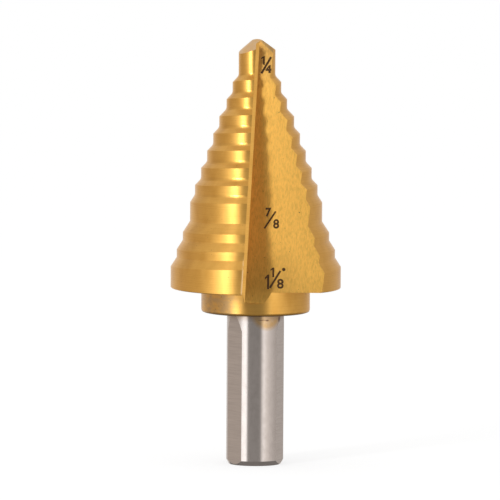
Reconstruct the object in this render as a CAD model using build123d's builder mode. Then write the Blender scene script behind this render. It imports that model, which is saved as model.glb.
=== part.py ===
"""Step drill with two straight flutes, on a round shank with three flats.

Millimetres, +Z towards the point. The origin is the centre of the shank's end
face, and the first flute opens towards -Y. The tool is one piece of steel.
"""

import os
from math import asin, cos, degrees, hypot, radians, sin, tan

from build123d import *

# Driving dimensions
inch = 25.4

# Shank
shank_diameter = 3 / 8 * inch
shank_length = 25.4
shank_chamfer = 0.45
shank_chamfer_height = 0.8

# Flats on the shank: each runs level, then ramps out to the round below the collar
flat_count = 3
flat_depth = 0.35
flat_azimuth = 100.0
flat_length = 22.4
flat_ramp_length = 2.9

# Collar between the shank and the largest step. Its lower edge is broken by two chamfers,
# which reach this far and meet this near to the corner.
collar_diameter = 18.1
collar_height = 4.03
collar_edge_reach = 0.42
collar_edge_slant = 0.12

# Cutting diameters of the steps, from the largest to the nose
step_diameters = [
    9 / 8 * inch,
    67 / 64 * inch,
    31 / 32 * inch,
    7 / 8 * inch,
    13 / 16 * inch,
    47 / 64 * inch,
    21 / 32 * inch,
    37 / 64 * inch,
    1 / 2 * inch,
    13 / 32 * inch,
    21 / 64 * inch,
    1 / 4 * inch,
]

# Heights: the land of the largest step, and the pitch from one land's top to the next
base_land = 3.72
step_pitch = 2.86
long_step_pitch = 5.03
long_step = 3
base_edge_chamfer = 0.12

# Shoulders between the lands: their angles to the axis, up to the long step and above it,
# and the radius that the wheel leaves at the foot of each land above the long step
lower_shoulder_angle = 33.3
upper_shoulder_angle = 45.0
shoulder_radius = 0.8

# Nose, from its shoulder to the chisel edge
nose_height = 6.01

# Relief behind the cutting edges: each half of the steps turns about its own centre, off
# the tool's axis, and each shoulder is tipped so that it falls away behind its edge. Both
# lean towards a direction this far ahead of the edge.
relief_offset = 0.1
axial_relief = 0.57
relief_lead = 32.0

# Flutes: a flat wall that carries the cutting edge, and a flat floor square to it
flute_count = 2
wall_setback = 0.13
wall_lean = 2.97
web_half_thickness = 0.89
floor_angle = 10.5
floor_cross_angle = 1.7
root_bevel_width = 0.57
root_bevel_rise = 0.34
flute_end_radius = 0.45
flute_end_height = 27.45

# The halves of the steps meet this far ahead of the cutting edge, in the open flute
seam_lead = 30.0

# Point: behind each lip the relief is a cone, tipped back from the lip
point_angle = 135.0
lip_tilts = [19.0, 13.5]
chisel_shift = 1.2

# Cutters reach past the surfaces that they cut by this much
over = 2.0

# Derived sizes


def shoulder_angle(index):
    """Angle to the axis of the shoulder above a land."""
    return lower_shoulder_angle if index <= long_step else upper_shoulder_angle


shank_radius = shank_diameter / 2
collar_radius = collar_diameter / 2
base_radius = step_diameters[0] / 2
base_height = shank_length + collar_height

land_tops = [base_height + base_land]
for index in range(1, len(step_diameters) - 1):
    pitch = long_step_pitch if index == long_step else step_pitch
    land_tops.append(land_tops[-1] + pitch)

land_bottoms = [base_height]
for index, land_top in enumerate(land_tops):
    angle = shoulder_angle(index)
    growth = (step_diameters[index] - step_diameters[index + 1]) / 2
    land_bottoms.append(land_top + growth / tan(radians(angle)))

tip_height = land_bottoms[-1] + nose_height

wall_slope = tan(radians(wall_lean))
floor_slope = tan(radians(floor_angle))
floor_cross_slope = tan(radians(floor_cross_angle))


def wall_x(height):
    """Place of the first flute's wall at a height."""
    return -wall_setback - wall_slope * (tip_height - height)


def floor_depth(x, height):
    """Distance of the first flute's floor in front of the axis, at a place across it."""
    return web_half_thickness + floor_slope * (tip_height - height) + floor_cross_slope * x


# One half of the steps: a full turning about the relieved centre, cut along the seam
edge_azimuth = -90.0 + degrees(asin(wall_x(base_height) / base_radius))
relief_azimuth = edge_azimuth + relief_lead
relief_loss = relief_offset * cos(radians(relief_lead))
half_centre = (
    relief_offset * cos(radians(relief_azimuth)),
    relief_offset * sin(radians(relief_azimuth)),
    0,
)
seam_azimuth = edge_azimuth + seam_lead
seam_normal = (sin(radians(seam_azimuth)), -cos(radians(seam_azimuth)), 0)

step_radii = [diameter / 2 - relief_loss for diameter in step_diameters]
last_step = len(step_diameters) - 1


def shoulder_apex(index):
    """Place and lean of the apex of the cone that carries the shoulder above a land."""
    lean = degrees(asin(axial_relief / step_radii[index]))
    rise = step_radii[index] / tan(radians(shoulder_angle(index)))
    turned = Location((0, 0, land_tops[index]), (0, 0, relief_azimuth))
    return turned * Location((0, 0, 0), (0, -lean, 0)) * Location((0, 0, rise))


def is_land_foot(edge):
    """Whether an edge lies at the foot of a land above the long step."""
    middle = edge @ 0.5
    reach = hypot(middle.X - half_centre[0], middle.Y - half_centre[1])
    feet = zip(step_radii[long_step + 1:], land_bottoms[long_step + 1:])
    at_foot = any(abs(reach - radius) < 0.01 and abs(middle.Z - bottom) < 2 * axial_relief
                  for radius, bottom in feet)
    return at_foot and edge.geom_type != GeomType.LINE


# Each step is a cylinder under the cone of its shoulder
steps = []
for index, radius in enumerate(step_radii):
    top = tip_height + over if index == last_step else land_bottoms[index + 1] + over
    with BuildPart() as step:
        with Locations((0, 0, base_height)):
            Cylinder(radius, top - base_height, align=(Align.CENTER, Align.CENTER, Align.MIN))
        if index == 0:
            chamfer(step.edges().group_by(Axis.Z)[0], length=base_edge_chamfer)
        if index < last_step:
            slope = tan(radians(shoulder_angle(index)))
            with Locations(shoulder_apex(index)):
                Cone(tip_height * slope, 0, tip_height, align=(Align.CENTER, Align.CENTER, Align.MAX),
                     mode=Mode.INTERSECT)
    steps.append(step.part)

with BuildPart() as step_half:
    with Locations(half_centre):
        for step_part in steps:
            add(step_part)
    fillet(step_half.edges().filter_by(is_land_foot), radius=shoulder_radius)
    split(bisect_by=Plane(origin=(0, 0, 0), z_dir=seam_normal), keep=Keep.TOP)

# Shank and collar, turned about the tool's axis
shank_outline = [
    (0, 0),
    (shank_radius - shank_chamfer, 0),
    (shank_radius, shank_chamfer_height),
    (shank_radius, shank_length),
    (collar_radius - collar_edge_reach, shank_length),
    (collar_radius - collar_edge_slant, shank_length + collar_edge_slant),
    (collar_radius, shank_length + collar_edge_reach),
    (collar_radius, base_height),
    (0, base_height),
]
with BuildPart() as shank:
    with BuildSketch(Plane.XZ):
        with BuildLine():
            Polyline(shank_outline, close=True)
        make_face()
    revolve(axis=Axis.Z)

# Cutter for one flat, which lies level along the shank and then ramps out
flat_outline = [
    (shank_radius - flat_depth, -over),
    (shank_radius - flat_depth, flat_length),
    (shank_radius, flat_length + flat_ramp_length),
    (shank_radius + over, flat_length + flat_ramp_length),
    (shank_radius + over, -over),
]
with BuildPart() as flat_cutter:
    with BuildSketch(Plane.XZ):
        with BuildLine():
            Polyline(flat_outline, close=True)
        make_face()
    extrude(amount=shank_radius, both=True)

# Cutter for one flute: a bevel follows the root, and the end runs out in a round
cutter_top = tip_height + over
cutter_reach = base_radius + 2 * over
root_x = wall_x(cutter_top)
root_y = -floor_depth(root_x, cutter_top)
flute_outline = [
    (root_x, root_y - root_bevel_rise),
    (root_x + root_bevel_width, -floor_depth(root_x + root_bevel_width, cutter_top)),
    (cutter_reach, -floor_depth(cutter_reach, cutter_top)),
    (cutter_reach, -cutter_reach),
    (root_x, -cutter_reach),
]
flute_run = Vector(-wall_slope, floor_cross_slope * wall_slope - floor_slope, -1)
with BuildPart() as flute_cutter:
    with BuildSketch(Plane.XY.offset(cutter_top)):
        with BuildLine():
            Polyline(flute_outline, close=True)
        make_face()
    extrude(amount=(cutter_top - flute_end_height) * flute_run.length, dir=flute_run)
    end_face = flute_cutter.faces().sort_by(Axis.Z)[0]
    wall_end = end_face.edges().sort_by(Axis.X)[0]
    floor_end = end_face.edges().sort_by(Axis.Y)[-2:]
    fillet([wall_end, *floor_end], radius=flute_end_radius)

# Step drill
apex_height = tip_height + chisel_shift / tan(radians(point_angle / 2))
cone_height = 1.5 * tip_height
cone_radius = cone_height * tan(radians(point_angle / 2))

with BuildPart() as step_drill:
    add(shank.part)
    with PolarLocations(0, flute_count):
        add(step_half.part)
    with PolarLocations(0, flute_count):
        add(flute_cutter.part, mode=Mode.SUBTRACT)
    with PolarLocations(0, flat_count, start_angle=flat_azimuth):
        add(flat_cutter.part, mode=Mode.SUBTRACT)
    for index, tilt in enumerate(lip_tilts):
        lip_turn = Location((0, 0, 0), (0, 0, index * 360 / flute_count))
        apex = Location((0, chisel_shift, apex_height), (0, -tilt, 0))
        with Locations(lip_turn * apex):
            Cone(cone_radius, 0, cone_height, align=(Align.CENTER, Align.CENTER, Align.MAX),
                 mode=Mode.INTERSECT)

step_drill.part.label = "step_drill"
os.makedirs("parts", exist_ok=True)
export_step(step_drill.part, "parts/step_drill.step")
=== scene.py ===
# %% [markdown]
# A step drill in its finished state. The steps, the flutes and the collar carry a
# gold-coloured coating a few thousandths of a millimetre thick. The shank below is bare
# ground steel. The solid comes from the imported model, and this lesson gives each of its
# surfaces the finish that its own machine leaves: turned rings, ground streaks or a
# polished round. Then it adds the size marks, a white floor, lamps and a camera.

# %% Load the frame
from math import atan2, cos, degrees, pi, radians, sin, tan

import bmesh
import bpy
from mathutils import Matrix, Vector


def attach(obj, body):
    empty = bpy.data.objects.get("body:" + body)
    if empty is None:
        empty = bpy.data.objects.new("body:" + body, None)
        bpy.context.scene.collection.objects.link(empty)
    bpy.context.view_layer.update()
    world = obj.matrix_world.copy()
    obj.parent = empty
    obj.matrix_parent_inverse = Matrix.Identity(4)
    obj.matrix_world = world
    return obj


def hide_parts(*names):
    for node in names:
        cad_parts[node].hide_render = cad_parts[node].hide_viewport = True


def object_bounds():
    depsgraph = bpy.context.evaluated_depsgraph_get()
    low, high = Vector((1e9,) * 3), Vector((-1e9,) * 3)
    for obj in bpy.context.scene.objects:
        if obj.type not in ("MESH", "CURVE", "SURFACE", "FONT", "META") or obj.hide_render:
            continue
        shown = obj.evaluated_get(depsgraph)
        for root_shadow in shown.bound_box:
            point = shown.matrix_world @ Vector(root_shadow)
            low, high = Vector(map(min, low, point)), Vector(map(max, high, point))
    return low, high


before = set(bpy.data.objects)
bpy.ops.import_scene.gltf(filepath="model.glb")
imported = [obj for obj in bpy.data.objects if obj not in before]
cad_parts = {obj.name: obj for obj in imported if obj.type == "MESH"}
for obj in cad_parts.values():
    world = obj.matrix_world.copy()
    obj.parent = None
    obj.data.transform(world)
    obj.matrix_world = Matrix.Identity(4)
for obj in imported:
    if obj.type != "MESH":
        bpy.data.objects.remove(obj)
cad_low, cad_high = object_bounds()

mm = 0.001
drill_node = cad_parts["step_drill"]
print("box of the solid, mm:", [round(v / mm, 3) for v in (*cad_low, *cad_high)])

# %% [markdown]
# The drill's own surface could be spun and cut again here, but the solid already has the
# right form, so its mesh is copied. The copy comes as loose triangles. Merging the points
# that lie on each other joins them. The solid's true normals are kept in a corner
# attribute meanwhile, because normals worked out from long thin triangles would shade a
# flat face as if it were bent.

# %% Copy the solid's mesh and merge it
merge_distance = 0.0001 * mm


def merged_copy(node, name):
    mesh = node.data.copy()
    mesh.name = name
    kept = mesh.attributes.new("true_normal", "FLOAT_VECTOR", "CORNER")
    kept.data.foreach_set("vector", [v for n in mesh.corner_normals for v in n.vector])
    work = bmesh.new()
    work.from_mesh(mesh)
    bmesh.ops.remove_doubles(work, verts=work.verts, dist=merge_distance)
    open_edges = [e for e in work.edges if len(e.link_faces) != 2]
    print(name, "has", len(work.faces), "triangles and", len(open_edges), "open edges")
    work.to_mesh(mesh)
    work.free()
    piece = bpy.data.objects.new(name, mesh)
    bpy.context.scene.collection.objects.link(piece)
    return piece


drill = merged_copy(drill_node, "coated_step_drill")
drill.data.materials.clear()
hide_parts("step_drill")
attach(drill, "root")

# %% [markdown]
# A material is a small network of nodes. The helper below adds one node, sets or links
# its inputs by name, and hands the node back, so that each finish reads as a short list.

# %% Helpers for materials


def add(tree, kind, inputs=(), **settings):
    node = tree.nodes.new("ShaderNode" + kind)
    for name, value in settings.items():
        setattr(node, name, value)
    for name, value in dict(inputs).items():
        if isinstance(value, bpy.types.NodeSocket):
            tree.links.new(value, node.inputs[name])
        else:
            node.inputs[name].default_value = value
    return node


def new_material(name):
    material = bpy.data.materials.new(name)
    material.use_nodes = True
    tree = material.node_tree
    tree.nodes.clear()
    out = add(tree, "OutputMaterial")
    return material, tree, out


def object_mm(tree):
    place = add(tree, "TexCoord").outputs["Object"]
    scaled = add(tree, "VectorMath", {0: place, 3: 1 / mm}, operation="SCALE")
    return scaled.outputs["Vector"]


def noise(tree, vector, stretch, detail=2.0, roughness=0.5):
    spread = add(tree, "VectorMath", {0: vector, 1: stretch}, operation="MULTIPLY")
    made = add(tree, "TexNoise", {"Vector": spread.outputs["Vector"], "Scale": 1.0,
                                  "Detail": detail, "Roughness": roughness})
    return made.outputs["Fac"]


def ramp(tree, value, low, high, to_low, to_high):
    made = add(tree, "MapRange", {"Value": value, "From Min": low, "From Max": high,
                                  "To Min": to_low, "To Max": to_high})
    return made.outputs["Result"]


def mixed(tree, share, first, second):
    made = add(tree, "Mix", {0: share, 6: first, 7: second}, data_type="RGBA")
    return made.outputs[2]


def shaded(tree, colour, share):
    return add(tree, "VectorMath", {0: colour, 3: share}, operation="SCALE").outputs["Vector"]


def maths(tree, operation, first, second=0.0):
    return add(tree, "Math", {0: first, 1: second}, operation=operation).outputs[0]


def spot(tree, place, centre, reach, soft=0.25):
    """A mask that is 1 inside an ellipsoid and fades out over its last part."""
    moved = add(tree, "VectorMath", {0: place, 1: centre}, operation="SUBTRACT")
    sized = add(tree, "VectorMath", {0: moved.outputs["Vector"], 1: reach}, operation="DIVIDE")
    length = add(tree, "VectorMath", {0: sized.outputs["Vector"]}, operation="LENGTH")
    return ramp(tree, length.outputs["Value"], 1 - soft, 1, 1, 0)


def bumped(tree, height, depth, strength=1.0):
    made = add(tree, "Bump", {"Height": height, "Distance": depth, "Strength": strength})
    return made.outputs["Normal"]


# %% [markdown]
# The coating is a hard ceramic film laid on in a vacuum, and it reflects like a metal.
# A metal's colour is the colour of its reflection, so the base colour is written for a
# surface that mirrors white. On the lands, shoulders and collar the film follows the
# rings that the lathe left, and each ring spreads a reflection up and down. The rings
# need only the height above the shank's end, because they run level all round.

# %% Coating on the turned surfaces
coat_colour = (0.87, 0.495, 0.118, 1)
coat_deep = (0.66, 0.33, 0.060, 1)
coat_stain = (0.16, 0.085, 0.03, 1)
coat_worn_and_glint = (0.70, 0.47, 0.25, 1)
coat_hazed = (0.56, 0.36, 0.165, 1)
coat_rim_painted_shade = (0.10, 0.055, 0.03, 1)
ring_pitch = 0.11
collar_top = 29.43
painted_shade_rim_height = 25.62
worn_and_glint_below = 36.0
tip_height = cad_high[2] / mm
edge_setback = 0.13
edge_slope = tan(radians(2.97))


def across_flute(tree, place):
    """The place across the nearer flute, positive over its floor, and the height."""
    x, y, z = add(tree, "SeparateXYZ", {0: place}).outputs
    side = maths(tree, "SIGN", maths(tree, "MULTIPLY", y, -1.0))
    return maths(tree, "MULTIPLY", x, side), z


def near_edge(tree, place):
    """A mask for the last tenths of a millimetre behind the lower cutting edges."""
    low, high = collar_top, worn_and_glint_below
    across, height = across_flute(tree, place)
    wall = maths(tree, "MULTIPLY", maths(tree, "SUBTRACT", tip_height, height), edge_slope)
    ahead = maths(tree, "ADD", maths(tree, "ADD", across, wall), edge_setback)
    near = maths(tree, "MULTIPLY", ramp(tree, ahead, -0.30, -0.06, 0, 1),
                 ramp(tree, ahead, 0, 0.04, 1, 0))
    near = maths(tree, "MULTIPLY", near, ramp(tree, height, low, low + 0.1, 0, 1))
    return maths(tree, "MULTIPLY", near, ramp(tree, height, high - 2, high, 1, 0))


def turned_coat():
    material, tree, out = new_material("turned_coating")
    place = object_mm(tree)
    x, y, height = add(tree, "SeparateXYZ", {0: place}).outputs
    wander = ramp(tree, noise(tree, place, (0.4, 0.4, 0.4)), 0, 1, -0.05, 0.05)
    ring_place = maths(tree, "ADD", height, wander)
    rings = add(tree, "TexNoise", {"W": ring_place, "Scale": 1 / ring_pitch, "Detail": 3.0},
                noise_dimensions="1D").outputs["Fac"]
    cloud = noise(tree, place, (0.5, 0.5, 0.35), detail=4.0)
    colour = mixed(tree, ramp(tree, cloud, 0.42, 0.72, 0, 0.45), coat_colour, coat_deep)
    colour = mixed(tree, ramp(tree, rings, 0.5, 0.68, 0, 0.35), colour, coat_deep)
    on_collar = ramp(tree, height, collar_top - 0.05, collar_top, 1, 0)
    on_left = maths(tree, "MULTIPLY", on_collar, ramp(tree, x, -4.5, -1.5, 1, 0))
    haze = noise(tree, place, (0.5, 0.5, 0.8), detail=5.0, roughness=0.65)
    haze = maths(tree, "MULTIPLY", ramp(tree, haze, 0.38, 0.60, 0.2, 0.9), on_left)
    colour = mixed(tree, haze, colour, coat_hazed)
    speck = noise(tree, place, (3.2, 3.2, 3.2), detail=1.0)
    speck = maths(tree, "ADD", speck, maths(tree, "MULTIPLY", on_left, 0.07))
    colour = mixed(tree, ramp(tree, speck, 0.76, 0.82, 0, 0.6), colour, coat_stain)
    # Painted shade: a dark rim at the collar's lower edge, where the round mirrors the dark below
    # it.
    colour = mixed(tree, ramp(tree, height, painted_shade_rim_height - 0.1, painted_shade_rim_height + 0.1, 0.8, 0), colour,
                   coat_rim_painted_shade)
    # Behind the lower cutting edges the coating is rubbed through to pale steel; the pale,
    # non-metallic colour there is also a painted glint along the edge.
    worn_and_glint = ramp(tree, noise(tree, place, (2.5, 2.5, 0.8), detail=3.0), 0.36, 0.52, 0.1, 0.9)
    worn_and_glint = maths(tree, "MULTIPLY", worn_and_glint, near_edge(tree, place))
    colour = mixed(tree, worn_and_glint, colour, coat_worn_and_glint)
    shader = add(tree, "BsdfPrincipled", {
        "Base Color": colour, "Metallic": maths(tree, "SUBTRACT", 1.0, worn_and_glint),
        "Anisotropic": 0.65, "Anisotropic Rotation": 0.25,
        "Roughness": ramp(tree, rings, 0.3, 0.7, 0.30, 0.38),
        "Normal": bumped(tree, rings, 0.0010 * mm),
    })
    tree.links.new(shader.outputs[0], out.inputs["Surface"])
    return material


# %% [markdown]
# The flutes are ground lengthwise, so their walls and floors are covered in fine
# streaks that run with the tool. A streaked face spreads a reflection sideways, which is
# why the floor glows evenly where a round surface next to it shows a band of light. The
# wall's shadow beside the root and the shade at the flute's end in the collar are painted
# into the colour as browner coating. The floor is also painted darker low down and at the tip.

# %% Coating on the ground flutes
ground_colour = (0.96, 0.565, 0.125, 1)
root_shadow_colour = (0.90, 0.47, 0.095, 1)
groove_shade_colour = (0.60, 0.32, 0.060, 1)
foot_colour = (0.72, 0.42, 0.095, 1)
tip_colour = (0.66, 0.39, 0.13, 1)
lip_colour = (0.44, 0.28, 0.125, 1)
streak_width = 0.13
streak_length = 6.0
blotch_width = 0.30
blotch_length = 0.9
groove_end = 27.9
lip_slope = 0.95


def film_and_shade_in_flute(tree, place, colour):
    """Painted shadow beside the root, painted shade where the flute ends in the collar, and
    darker colour low down, at the tip and at the lip.
    """
    across, height = across_flute(tree, place)
    # Painted shadow: the strip beside the root, which the flute's wall shades from the lamp, gets
    # a browner colour.
    reach = ramp(tree, height, 35, 60, 2.0, 1.0)
    root_shadow = ramp(tree, maths(tree, "SUBTRACT", across, reach), -0.5, 0.1, 1, 0)
    colour = mixed(tree, root_shadow, colour, root_shadow_colour)
    # Painted shade: the flute's floor inside the collar is darkened down to its lip, which stays
    # bright.
    groove_shade = maths(tree, "MULTIPLY", ramp(tree, height, collar_top - 0.3, collar_top + 0.3, 1, 0),
                   ramp(tree, height, groove_end - 0.1, groove_end + 0.1, 0, 0.8))
    colour = mixed(tree, groove_shade, colour, groove_shade_colour)
    # The floor is painted darker low down, fading out across the flute.
    foot = maths(tree, "SUBTRACT", ramp(tree, height, 30, 38, 1, 0),
                 ramp(tree, across, 5, 9, 0, 0.7))
    colour = mixed(tree, foot, colour, foot_colour)
    # Darker and duller towards the tip.
    tip = ramp(tree, height, tip_height - 8, tip_height - 4, 0, 0.5)
    colour = mixed(tree, tip, colour, tip_colour)
    from_lip = maths(tree, "ADD", height, maths(tree, "MULTIPLY", across, lip_slope))
    return mixed(tree, ramp(tree, from_lip, 71.0, 71.4, 0, 0.9), colour, lip_colour)


def ground_coat():
    material, tree, out = new_material("ground_coating")
    place = object_mm(tree)
    across = 1 / streak_width
    streaks = noise(tree, place, (across, across, 1 / streak_length), detail=3.0)
    wide = 1 / blotch_width
    blotches = noise(tree, place, (wide, wide, 1 / blotch_length), detail=4.0, roughness=0.6)
    colour = film_and_shade_in_flute(tree, place, ground_colour)
    colour = shaded(tree, colour, ramp(tree, blotches, 0.42, 0.70, 1.03, 0.86))
    colour = shaded(tree, colour, ramp(tree, streaks, 0.42, 0.75, 1.0, 0.86))
    pits = noise(tree, place, (2.6, 2.6, 2.6), detail=0.0)
    colour = mixed(tree, ramp(tree, pits, 0.84, 0.87, 0, 0.8), colour, coat_stain)
    relief = maths(tree, "ADD", maths(tree, "MULTIPLY", blotches, 3.0), streaks)
    shader = add(tree, "BsdfPrincipled", {
        "Base Color": colour, "Metallic": 1.0, "Anisotropic": 0.8,
        "Roughness": ramp(tree, streaks, 0.3, 0.7, 0.50, 0.58),
        "Normal": bumped(tree, relief, 0.007 * mm),
    })
    tree.links.new(shader.outputs[0], out.inputs["Surface"])
    return material


# %% [markdown]
# The two cones of the point are ground last and rub first, so the film is thin and pale
# there and has no rings.

# %% Coating on the point
point_worn = (0.80, 0.62, 0.42, 1)


def point_coat():
    material, tree, out = new_material("point_coating")
    place = object_mm(tree)
    cloud = noise(tree, place, (1.2, 1.2, 1.2), detail=3.0)
    colour = mixed(tree, ramp(tree, cloud, 0.35, 0.65, 0.35, 0.75), coat_colour, point_worn)
    shader = add(tree, "BsdfPrincipled", {
        "Base Color": colour, "Metallic": 1.0, "Roughness": 0.42,
    })
    tree.links.new(shader.outputs[0], out.inputs["Surface"])
    return material


# %% [markdown]
# The shank never went through the coating. It is centreless ground, smooth enough to
# mirror the lamps as straight bands. Its three driving flats are ground across.

# %% Bare steel of the shank
steel_colour = (0.63, 0.575, 0.545, 1)
steel_dark = (0.49, 0.44, 0.41, 1)
overspray_and_reflection = (0.64, 0.42, 0.20, 1)
overspray_reflection_centre = (2.1, -4.3, 25.6)
overspray_reflection_reach = (3.1, 3.0, 3.1)
shade_under_collar = (0.34, 0.235, 0.145, 1)
rust_stain = (0.11, 0.045, 0.03, 1)
# Stains under the collar: their centres and how far they reach, in mm
stains = [
    ((1.95, -4.35, 24.35), (0.42, 0.6, 0.20)),
    ((1.15, -4.60, 24.42), (0.95, 0.6, 0.09)),
    ((3.95, -2.70, 24.45), (0.28, 0.9, 0.75)),
]


def below_collar(tree, place, colour):
    """Overspray with a painted reflection of the collar, painted shade under the collar, and the
    stains.
    """
    # Part real spray of the coating, part a painted gold reflection of the collar's underside.
    ragged = ramp(tree, noise(tree, place, (1.4, 1.4, 1.4), detail=4.0), 0.3, 0.7, 0.75, 1.0)
    overspray_reflection_mask = maths(tree, "MULTIPLY", spot(tree, place, overspray_reflection_centre, overspray_reflection_reach), ragged)
    colour = mixed(tree, overspray_reflection_mask, colour, overspray_and_reflection)
    height = add(tree, "SeparateXYZ", {0: place}).outputs["Z"]
    # Painted shade: the shank is darkened just under the collar.
    colour = mixed(tree, ramp(tree, height, 24.1, 25.0, 0, 0.65), colour, shade_under_collar)
    for centre, reach in stains:
        stain = maths(tree, "MULTIPLY", spot(tree, place, centre, reach, soft=0.7), 0.75)
        colour = mixed(tree, stain, colour, rust_stain)
    return colour


def shank_steel():
    material, tree, out = new_material("ground_shank")
    place = object_mm(tree)
    cloud = noise(tree, place, (1.1, 1.1, 0.7), detail=4.0, roughness=0.6)
    colour = mixed(tree, ramp(tree, cloud, 0.4, 0.8, 0, 0.5), steel_colour, steel_dark)
    rings = noise(tree, place, (0.5, 0.5, 9.0), detail=2.0)
    shader = add(tree, "BsdfPrincipled", {
        "Base Color": below_collar(tree, place, colour), "Metallic": 1.0, "Anisotropic": 0.5,
        "Anisotropic Rotation": 0.25,
        "Roughness": ramp(tree, cloud, 0.3, 0.8, 0.13, 0.24),
        "Normal": bumped(tree, rings, 0.0006 * mm),
    })
    tree.links.new(shader.outputs[0], out.inputs["Surface"])
    return material


def flat_steel():
    material, tree, out = new_material("ground_flats")
    place = object_mm(tree)
    lines = noise(tree, place, (0.25, 0.25, 7.0), detail=3.0)
    colour = mixed(tree, ramp(tree, lines, 0.35, 0.75, 0, 0.6), steel_colour, steel_dark)
    colour = below_collar(tree, place, colour)
    shader = add(tree, "BsdfPrincipled", {
        "Base Color": colour, "Metallic": 1.0, "Anisotropic": 0.6,
        "Anisotropic Rotation": 0.25,
        "Roughness": ramp(tree, lines, 0.3, 0.7, 0.30, 0.42),
        "Normal": bumped(tree, lines, 0.002 * mm),
    })
    tree.links.new(shader.outputs[0], out.inputs["Surface"])
    return material


# %% [markdown]
# Each triangle now takes the finish of the surface that it belongs to. The collar's
# underside parts the coating from the bare shank. A flat is known by the direction that
# it faces. A flute is found by walking: the walk starts on its floor and on its wall, and
# goes on over every edge where the true normals of both sides agree, until the sharp
# edges of the flute stop it. The bevel between wall and floor stays out, because the
# rounded corner of the wheel polishes it. Then the true normals are set for shading.

# %% Give each surface its finish
collar_underside = 25.4 * mm
flat_azimuths = [100.0, 220.0, 340.0]
smooth_angle = radians(3)
point_depth = 3.5 * mm
finishes = [turned_coat(), ground_coat(), point_coat(), shank_steel(), flat_steel()]
turned, ground, point, shank, flats = range(len(finishes))


def is_smooth(edge, layer):
    here, there = edge.link_loops
    pairs = [(here, there.link_loop_next), (here.link_loop_next, there)]
    return all(a[layer].angle(b[layer], pi) < smooth_angle for a, b in pairs)


def walk_smooth(start, layer):
    found, border = {start}, [start]
    while border:
        for edge in border.pop().edges:
            if is_smooth(edge, layer):
                fresh = [f for f in edge.link_faces if f not in found]
                found.update(fresh)
                border.extend(fresh)
    return found


def faces_a_flat(face):
    azimuth = degrees(atan2(face.normal.y, face.normal.x)) % 360
    level = abs(face.normal.z) < 0.2
    return level and any(abs(azimuth - flat) < 0.6 for flat in flat_azimuths)


def flute_faces(work, layer):
    coated = [f for f in work.faces if f.calc_center_median().z > collar_underside]
    found = set()
    for side in (-1, 1):
        for way in (Vector((0, side, 0)), Vector((-side, 0, 0))):
            facing = [f for f in coated if f.normal.dot(way) > 0.96]
            found |= walk_smooth(max(facing, key=lambda f: f.calc_area()), layer)
    return found


def sort_finishes(piece):
    work = bmesh.new()
    work.from_mesh(piece.data)
    flutes = flute_faces(work, work.loops.layers.float_vector["true_normal"])
    for face in work.faces:
        height = face.calc_center_median().z
        if height < collar_underside - merge_distance:
            face.material_index = flats if faces_a_flat(face) else shank
        elif face in flutes:
            face.material_index = ground
        else:
            on_point = height > cad_high[2] - point_depth and face.normal.z > 0.5
            face.material_index = point if on_point else turned
    counts = [sum(f.material_index == i for f in work.faces) for i in range(len(finishes))]
    work.to_mesh(piece.data)
    work.free()
    print("triangles for each finish:", counts)


def set_true_normals(piece):
    kept = piece.data.attributes["true_normal"]
    piece.data.normals_split_custom_set([tuple(v.vector) for v in kept.data])
    piece.data.attributes.remove(piece.data.attributes["true_normal"])


for finish in finishes:
    drill.data.materials.append(finish)
sort_finishes(drill)
set_true_normals(drill)

# %% [markdown]
# The size marks are burnt into the coating by a laser. They are dark, flush to the touch
# and sharp. The 4, 7 and 8 are texts turned into meshes. The 1 is drawn from its outline,
# because the laser's 1 has a flag and no foot. Each mark is a few hundredths of a
# millimetre thick and lies on the flute's floor, whose plane is read from the mesh.

# %% Find the flute's floor
floor_probe = Vector((5 * mm, 0, 45 * mm))


def flute_floor(piece):
    wide = max((p for p in piece.data.polygons if p.normal.y < -0.9 and
                p.center.z > collar_underside), key=lambda p: p.area)
    normal = wide.normal.copy()
    share = (wide.center - floor_probe).dot(normal) / normal.y
    return floor_probe + Vector((0, share, 0)), normal


floor_point, floor_normal = flute_floor(drill)
print("the floor faces", [round(v, 4) for v in floor_normal])

# %% Size marks
mark_thickness = 0.02 * mm
mark_sink = 0.008 * mm
outline_of_one = [(0.5, 0), (1, 0), (1, 1), (0.62, 1), (0, 0.80), (0, 0.66), (0.5, 0.78)]
dot_segments = 24


def mark_ink():
    material, tree, out = new_material("laser_mark")
    place = object_mm(tree)
    grain = noise(tree, place, (5, 5, 5), detail=3.0)
    colour = mixed(tree, ramp(tree, grain, 0.35, 0.7, 0, 1), (0.035, 0.015, 0.004, 1),
                   (0.09, 0.040, 0.010, 1))
    shader = add(tree, "BsdfPrincipled", {"Base Color": colour, "Roughness": 0.7,
                                          "Specular IOR Level": 0.15})
    tree.links.new(shader.outputs[0], out.inputs["Surface"])
    return material


def on_floor(x, height):
    at = Vector((x, 0, height))
    share = (floor_point - at).dot(floor_normal) / floor_normal.y
    return at + Vector((0, share, 0))


def lay_on_floor(mesh, low_left, high_right):
    xs = [v.co.x for v in mesh.vertices]
    ys = [v.co.y for v in mesh.vertices]
    zs = [v.co.z for v in mesh.vertices]
    low, high = on_floor(*low_left), on_floor(*high_right)
    up = (Vector((0, 0, 1)) - floor_normal * floor_normal.z).normalized()
    right = up.cross(floor_normal)
    wide, tall = (high - low).dot(right), (high - low).dot(up)
    for vertex in mesh.vertices:
        across = (vertex.co.x - min(xs)) / (max(xs) - min(xs)) * wide
        along = (vertex.co.y - min(ys)) / (max(ys) - min(ys)) * tall
        lift = (vertex.co.z - min(zs)) / (max(zs) - min(zs)) * mark_thickness - mark_sink
        vertex.co = low + right * across + up * along + floor_normal * lift
    mesh.update()


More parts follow.
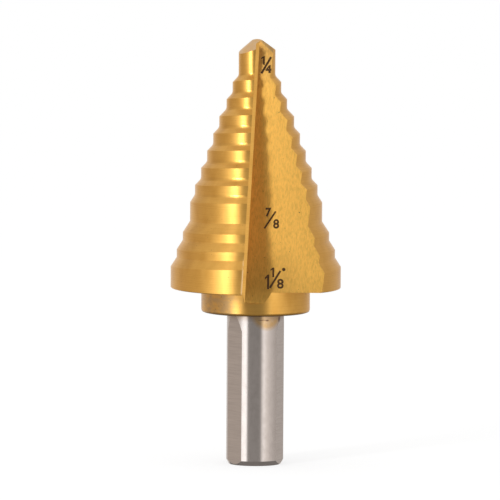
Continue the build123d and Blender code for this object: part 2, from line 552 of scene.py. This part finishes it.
def text_mesh(name, text, weight):
    curve = bpy.data.curves.new(name, "FONT")
    curve.body = text
    curve.extrude = 0.05
    curve.offset = weight
    curve.resolution_u = 6
    source = bpy.data.objects.new(name, curve)
    bpy.context.scene.collection.objects.link(source)
    bpy.context.view_layer.update()
    mesh = bpy.data.meshes.new_from_object(source)
    bpy.data.objects.remove(source)
    return mesh


def thickened(name, work, face):
    raised = bmesh.ops.extrude_face_region(work, geom=[face], use_keep_orig=True)["geom"]
    points = [v for v in raised if isinstance(v, bmesh.types.BMVert)]
    bmesh.ops.translate(work, verts=points, vec=(0, 0, 1))
    mesh = bpy.data.meshes.new(name)
    work.to_mesh(mesh)
    work.free()
    return mesh


def mesh_of_one(name):
    work = bmesh.new()
    face = work.faces.new([work.verts.new((x, y, 0)) for x, y in outline_of_one])
    return thickened(name, work, face)


def mesh_of_dot(name):
    work = bmesh.new()
    bmesh.ops.create_circle(work, cap_ends=True, segments=dot_segments, radius=1)
    return thickened(name, work, work.faces[:][0])


def figure(name, text, low_left, high_right, weight, ink):
    makers = {"1": mesh_of_one, ".": mesh_of_dot}
    mesh = makers[text](name) if text in makers else text_mesh(name, text, weight)
    lay_on_floor(mesh, [v * mm for v in low_left], [v * mm for v in high_right])
    return finish_mark(name, mesh, ink)


def finish_mark(name, mesh, ink):
    work = bmesh.new()
    work.from_mesh(mesh)
    bmesh.ops.remove_doubles(work, verts=work.verts, dist=merge_distance)
    bmesh.ops.recalc_face_normals(work, faces=work.faces)
    work.to_mesh(mesh)
    work.free()
    mesh.materials.clear()
    mesh.materials.append(ink)
    mark = bpy.data.objects.new(name, mesh)
    bpy.context.scene.collection.objects.link(mark)
    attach(mark, "root")
    return mark


def slash(name, low_left, high_right, width, ink):
    low = on_floor(*[v * mm for v in low_left])
    high = on_floor(*[v * mm for v in high_right])
    along = (high - low).normalized()
    side = along.cross(floor_normal)
    middle = (low + high) / 2 + floor_normal * (mark_thickness / 2 - mark_sink)
    axes = Matrix((side, along, floor_normal)).transposed().to_4x4()
    sizes = Matrix.Diagonal((width * mm, (high - low).length, mark_thickness, 1))
    work = bmesh.new()
    bmesh.ops.create_cube(work, size=1.0, matrix=Matrix.Translation(middle) @ axes @ sizes)
    mesh = bpy.data.meshes.new(name)
    work.to_mesh(mesh)
    work.free()
    return finish_mark(name, mesh, ink)


# Each mark: its text, its lower left and upper right corner as x and height in mm, and how
# far a text's strokes are widened
figures = {
    "quarter_top": ("1", (0.66, 66.72), (1.30, 68.14), 0),
    "quarter_bottom": ("4", (1.40, 65.38), (2.38, 66.70), 0.06),
    "seven_eighths_top": ("7", (1.55, 41.82), (2.52, 43.30), 0.035),
    "seven_eighths_bottom": ("8", (2.82, 39.90), (3.83, 41.45), 0.03),
    "one_and_an_eighth_whole": ("1", (1.52, 29.97), (2.24, 32.38), 0),
    "one_and_an_eighth_top": ("1", (2.42, 31.95), (3.06, 33.53), 0),
    "one_and_an_eighth_bottom": ("8", (3.52, 30.08), (4.64, 31.70), 0.03),
    "one_and_an_eighth_inch": (".", (4.34, 32.93), (4.92, 33.51), 0),
}
# Each slash: its lower left and upper right end as x and height, and its width, in mm
slashes = {
    "quarter_slash": ((0.72, 65.30), (2.33, 68.02), 0.36),
    "seven_eighths_slash": ((1.38, 39.92), (3.25, 42.72), 0.29),
    "one_and_an_eighth_slash": ((2.34, 30.20), (4.09, 33.00), 0.33),
}
ink = mark_ink()
for name, (text, low_left, high_right, weight) in figures.items():
    figure("mark_" + name, text, low_left, high_right, weight, ink)
for name, (low_left, high_right, width) in slashes.items():
    slash("mark_" + name, low_left, high_right, width, ink)
print(len(figures) + len(slashes), "marks laid on the floor of the flute")

# %% [markdown]
# A white floor and a white sky make the pale background. The floor is a lit table of
# milky glass: part of its white is its own glow and the rest is the light that falls on
# it, so it holds only a faint shadow at the foot of the shank.

# %% Floor and sky
floor_radius = 4.0
floor_segments = 96
floor_glow = 0.68


def place_object(name, mesh):
    placed = bpy.data.objects.new(name, mesh)
    bpy.context.scene.collection.objects.link(placed)
    return placed


def matt_white():
    material, tree, out = new_material("white_floor")
    matt = add(tree, "BsdfDiffuse", {"Color": (1.0, 1.0, 1.0, 1)})
    glow = add(tree, "Emission", {"Color": (1.0, 1.0, 1.0, 1), "Strength": 1.0})
    both = add(tree, "MixShader", {0: floor_glow, 1: matt.outputs[0], 2: glow.outputs[0]})
    tree.links.new(both.outputs[0], out.inputs["Surface"])
    return material


def make_floor():
    work = bmesh.new()
    bmesh.ops.create_circle(work, cap_ends=True, segments=floor_segments, radius=floor_radius)
    mesh = bpy.data.meshes.new("floor")
    work.to_mesh(mesh)
    work.free()
    mesh.materials.append(matt_white())
    floor = place_object("floor", mesh)
    floor.visible_glossy = False
    floor.visible_shadow = False
    return floor


make_floor()
world = bpy.data.worlds.new("white_sky")
world.use_nodes = True
world.node_tree.nodes["Background"].inputs["Color"].default_value = (1, 1, 1, 1)
world.node_tree.nodes["Background"].inputs["Strength"].default_value = 1.0
bpy.context.scene.world = world

# %% [markdown]
# Polished metal shows whatever stands round it, so a photographer of tools builds a tent
# of cards and lamps round the piece. Here the tent is one round wall whose brightness
# changes with the direction: a dark card in front makes the dark middle of a round
# surface, a tall lamp on the left makes its bright band, and a softer one on the right
# its second band. Only reflections see the tent, so it neither hides the drill nor
# shades the floor.

# %% Tent of light round the drill
tent_radius = 0.30
tent_bottom = -0.12
tent_top = 0.50
tent_segments = 120
tent_heights = (-0.01, 0.08, 0.17, 0.26)
card_warmth = (1.0, 0.88, 0.78)
# By degrees right of the camera: the wall's brightness at the three lower heights, and how
# warm its white is there, from 0 to 1
surround = {
    -180: (0.95, 0.95, 0.95, 0.3),
    -147: (0.72, 0.74, 0.62, 0.4),
    -131: (0.64, 0.62, 0.52, 0.8),
    -118: (0.58, 0.50, 0.46, 1.0),
    -105: (0.60, 0.50, 0.46, 1.0),
    -90: (0.64, 0.56, 0.50, 0.9),
    -79: (0.68, 0.65, 0.50, 0.8),
    -70: (0.82, 0.82, 0.60, 0.6),
    -60: (1.08, 1.10, 0.80, 0.3),
    -52: (1.40, 1.42, 1.00, 0.0),
    -46: (1.72, 1.72, 1.20, 0.0),
    -37.5: (1.72, 1.68, 1.20, 0.0),
    -33.5: (1.50, 1.00, 0.80, 0.0),
    -30.5: (0.70, 0.24, 0.28, 0.2),
    -27: (0.37, 0.16, 0.20, 0.3),
    -15: (0.36, 0.14, 0.16, 0.3),
    12: (0.36, 0.14, 0.16, 0.3),
    22: (0.38, 0.26, 0.18, 0.3),
    28: (0.92, 1.00, 0.25, 0.2),
    36: (1.28, 1.75, 0.35, 0.2),
    48: (1.02, 1.35, 0.45, 0.4),
    63: (0.80, 1.00, 0.50, 0.4),
    93: (0.54, 0.80, 0.50, 0.5),
    120: (0.50, 0.70, 0.50, 0.6),
    150: (0.62, 0.60, 0.55, 0.5),
    180: (0.95, 0.95, 0.95, 0.3),
}
tent_crown = 0.75
tent_floor = 0.25
tent_roof = 0.60


def card_colour(brightness, warmth=0.4):
    return (*[brightness * (1 + (tint - 1) * warmth) for tint in card_warmth], 1)


def glow_by_direction(tree, turn, zone):
    glow = add(tree, "ValToRGB", {"Fac": turn})
    elements = glow.color_ramp.elements
    for index, (direction, (*brightness, warmth)) in enumerate(surround.items()):
        share = (direction + 180) / 360
        stop = elements[index] if index < 2 else elements.new(share)
        stop.position = share
        stop.color = card_colour(brightness[zone], warmth)
    return glow.outputs["Color"]


def tent_glow():
    material, tree, out = new_material("tent_wall")
    place = add(tree, "SeparateXYZ", {0: add(tree, "TexCoord").outputs["Object"]}).outputs
    front = add(tree, "Math", {0: place["Y"], 1: -1.0}, operation="MULTIPLY").outputs[0]
    turn = add(tree, "Math", {0: place["X"], 1: front}, operation="ARCTAN2").outputs[0]
    turn = ramp(tree, turn, -pi, pi, 0, 1)
    low, middle, high, crown = tent_heights
    glow = glow_by_direction(tree, turn, 0)
    glow = mixed(tree, ramp(tree, place["Z"], low, middle, 0, 1), glow,
                 glow_by_direction(tree, turn, 1))
    glow = mixed(tree, ramp(tree, place["Z"], middle, high, 0, 1), glow,
                 glow_by_direction(tree, turn, 2))
    glow = mixed(tree, ramp(tree, place["Z"], high, crown, 0, 1), glow, card_colour(tent_crown))
    shader = add(tree, "Emission", {"Color": glow, "Strength": 1.0})
    tree.links.new(shader.outputs[0], out.inputs["Surface"])
    return material


def even_glow(name, brightness):
    material, tree, out = new_material(name)
    shader = add(tree, "Emission", {"Color": card_colour(brightness), "Strength": 1.0})
    tree.links.new(shader.outputs[0], out.inputs["Surface"])
    return material


def finish_card(name, work, material):
    mesh = bpy.data.meshes.new(name)
    work.to_mesh(mesh)
    work.free()
    mesh.materials.append(material)
    card = place_object(name, mesh)
    card.visible_camera = False
    card.visible_diffuse = False
    card.visible_shadow = False


def make_tent_wall():
    work = bmesh.new()
    ends = [work.verts.new((0, -tent_radius, z)) for z in (tent_bottom, tent_top)]
    edge = work.edges.new(ends)
    bmesh.ops.spin(work, geom=[*ends, edge], cent=(0, 0, 0), axis=(0, 0, 1),
                   angle=2 * pi, steps=tent_segments, use_merge=True)
    finish_card("tent_wall", work, tent_glow())


def make_level_card(name, height, brightness):
    work = bmesh.new()
    bmesh.ops.create_circle(work, cap_ends=True, segments=floor_segments, radius=tent_radius)
    bmesh.ops.translate(work, verts=work.verts, vec=(0, 0, height))
    finish_card(name, work, even_glow(name, brightness))


make_tent_wall()
make_level_card("tent_floor", tent_bottom, tent_floor)
make_level_card("tent_roof", tent_top, tent_roof)

# %% [markdown]
# One narrow lamp stands in the tent on the left, above the height of the drill. The
# ground floor of the flute spreads its light, while the flute's wall keeps it off the
# strip beside the root. So the strip stays brown, with the steps' outline as its edge.

# %% Narrow lamp for the flute
# Its middle in degrees right of the camera, its width in degrees, its lower and upper
# edge, and its brightness
lamps = {
    "flute_lamp": (-41.0, 6, 0.09, 0.20, 29.0),
}


def make_lamp(name, azimuth, width, bottom, top, brightness):
    data = bpy.data.lights.new(name, "AREA")
    data.shape = "RECTANGLE"
    data.size = 2 * tent_radius * tan(radians(width / 2))
    data.size_y = top - bottom
    data.energy = brightness * pi * data.size * data.size_y
    lamp = bpy.data.objects.new(name, data)
    bpy.context.scene.collection.objects.link(lamp)
    turn = radians(azimuth)
    reach = 0.98 * tent_radius
    lamp.location = (reach * sin(turn), -reach * cos(turn), (top + bottom) / 2)
    lamp.rotation_euler = (pi / 2, 0, turn)
    lamp.visible_camera = False


for name, facts in lamps.items():
    make_lamp(name, *facts)

# %% [markdown]
# The camera stands far off with a long lens, a few degrees above the drill, so the
# rings show as flat ovals and the tool keeps its straight sides.

# %% Camera
camera_distance = 1.5
camera_elevation = 5.2
camera_roll = 0.36
view_width = 500 / 6.008 * mm
sight_point = Vector((-0.98 * mm, 0, 35.7 * mm))


def make_camera():
    data = bpy.data.cameras.new("camera")
    data.sensor_width = 36
    data.lens = data.sensor_width * camera_distance / view_width
    data.clip_start = 0.05
    data.clip_end = 20
    camera = bpy.data.objects.new("camera", data)
    bpy.context.scene.collection.objects.link(camera)
    rise = radians(camera_elevation)
    back = Vector((0, -cos(rise), sin(rise)))
    roll = Matrix.Rotation(radians(camera_roll), 4, "Z")
    turn = (-back).to_track_quat("-Z", "Y").to_matrix().to_4x4()
    camera.matrix_world = Matrix.Translation(sight_point + back * camera_distance) @ turn @ roll
    bpy.context.scene.camera = camera


make_camera()
bpy.context.scene.view_settings.view_transform = "Standard"
